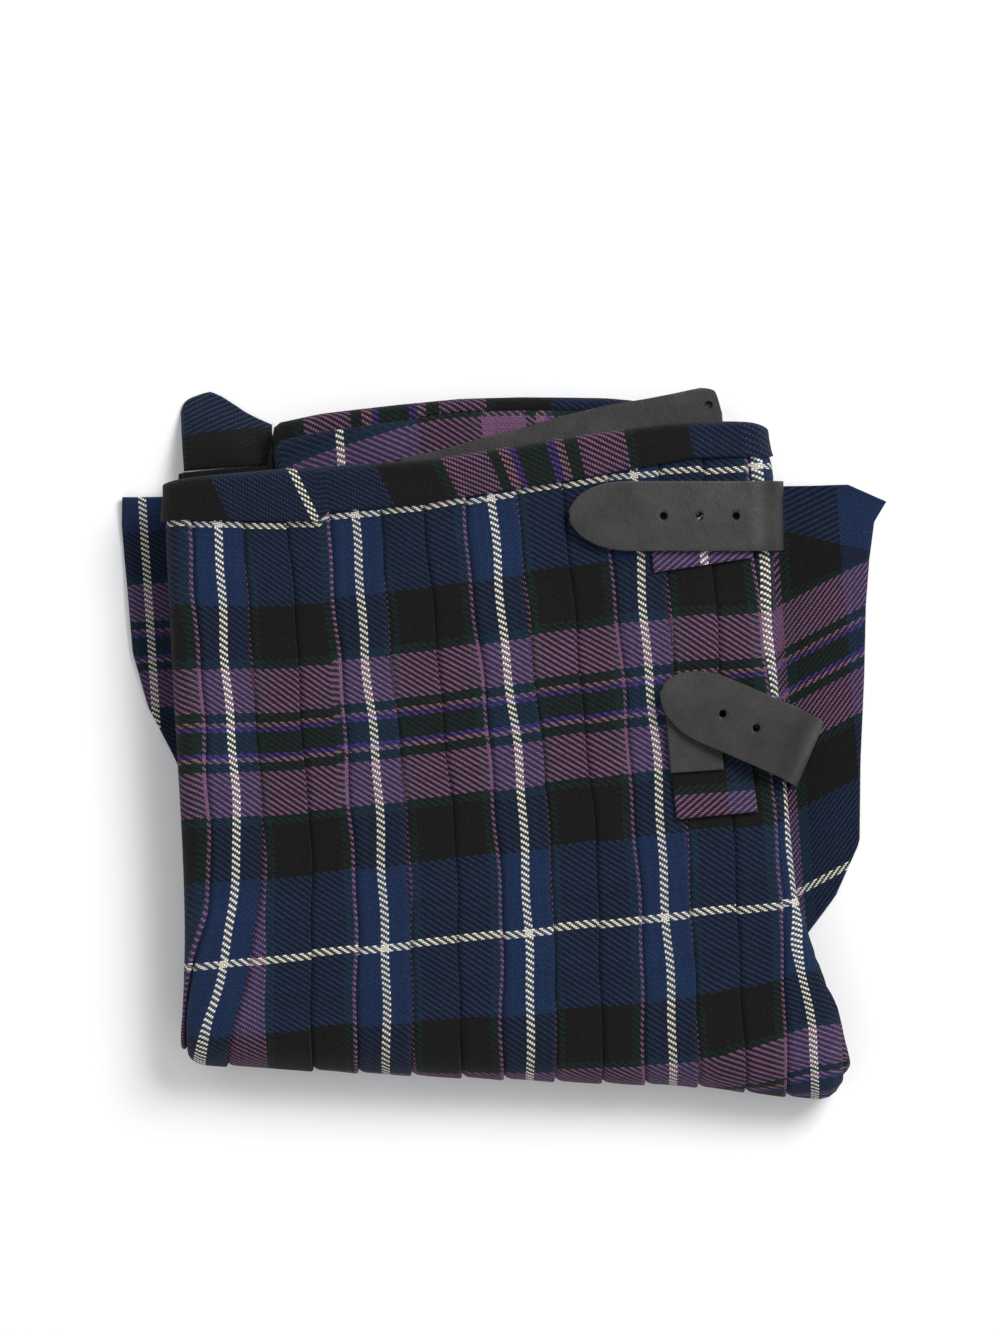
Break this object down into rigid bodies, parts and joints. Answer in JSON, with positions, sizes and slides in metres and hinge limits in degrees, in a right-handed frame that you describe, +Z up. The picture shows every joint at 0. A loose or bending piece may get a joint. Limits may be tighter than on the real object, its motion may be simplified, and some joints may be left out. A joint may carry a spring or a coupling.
{
  "type": "scottish kilt",
  "caption": "Tartan kilt folded across into a flat bundle, knife-pleated back up, with a waistband and leather straps over one side",
  "frame": {"origin": "centre of the bounding box, on the surface that the kilt lies on", "axes": "+X along the waistband towards the strapped side, +Y from the bottom fold to the waist, +Z up from the surface"},
  "size_m": [0.3562, 0.3478, 0.0537],
  "materials": {
    "pleat_cloth": "matte",
    "layer_cloth": "matte",
    "band_cloth": "matte",
    "apron_cloth": "matte",
    "hem_cloth": "matte",
    "tab_cloth": "matte",
    "strap_leather": "satin"
  },
  "bodies": {
    "root": {"pleated_back": "pleat_cloth", "folded_layers": "layer_cloth", "waistband": "band_cloth", "over_apron": "apron_cloth", "under_apron": "apron_cloth", "hem_layer": "hem_cloth", "tab_waist": "tab_cloth", "tab_hip": "tab_cloth", "strap_waist": "strap_leather", "strap_hip": "strap_leather", "strap_third": "strap_leather", "chape_hip": "strap_leather"}
  },
  "joints": []
}
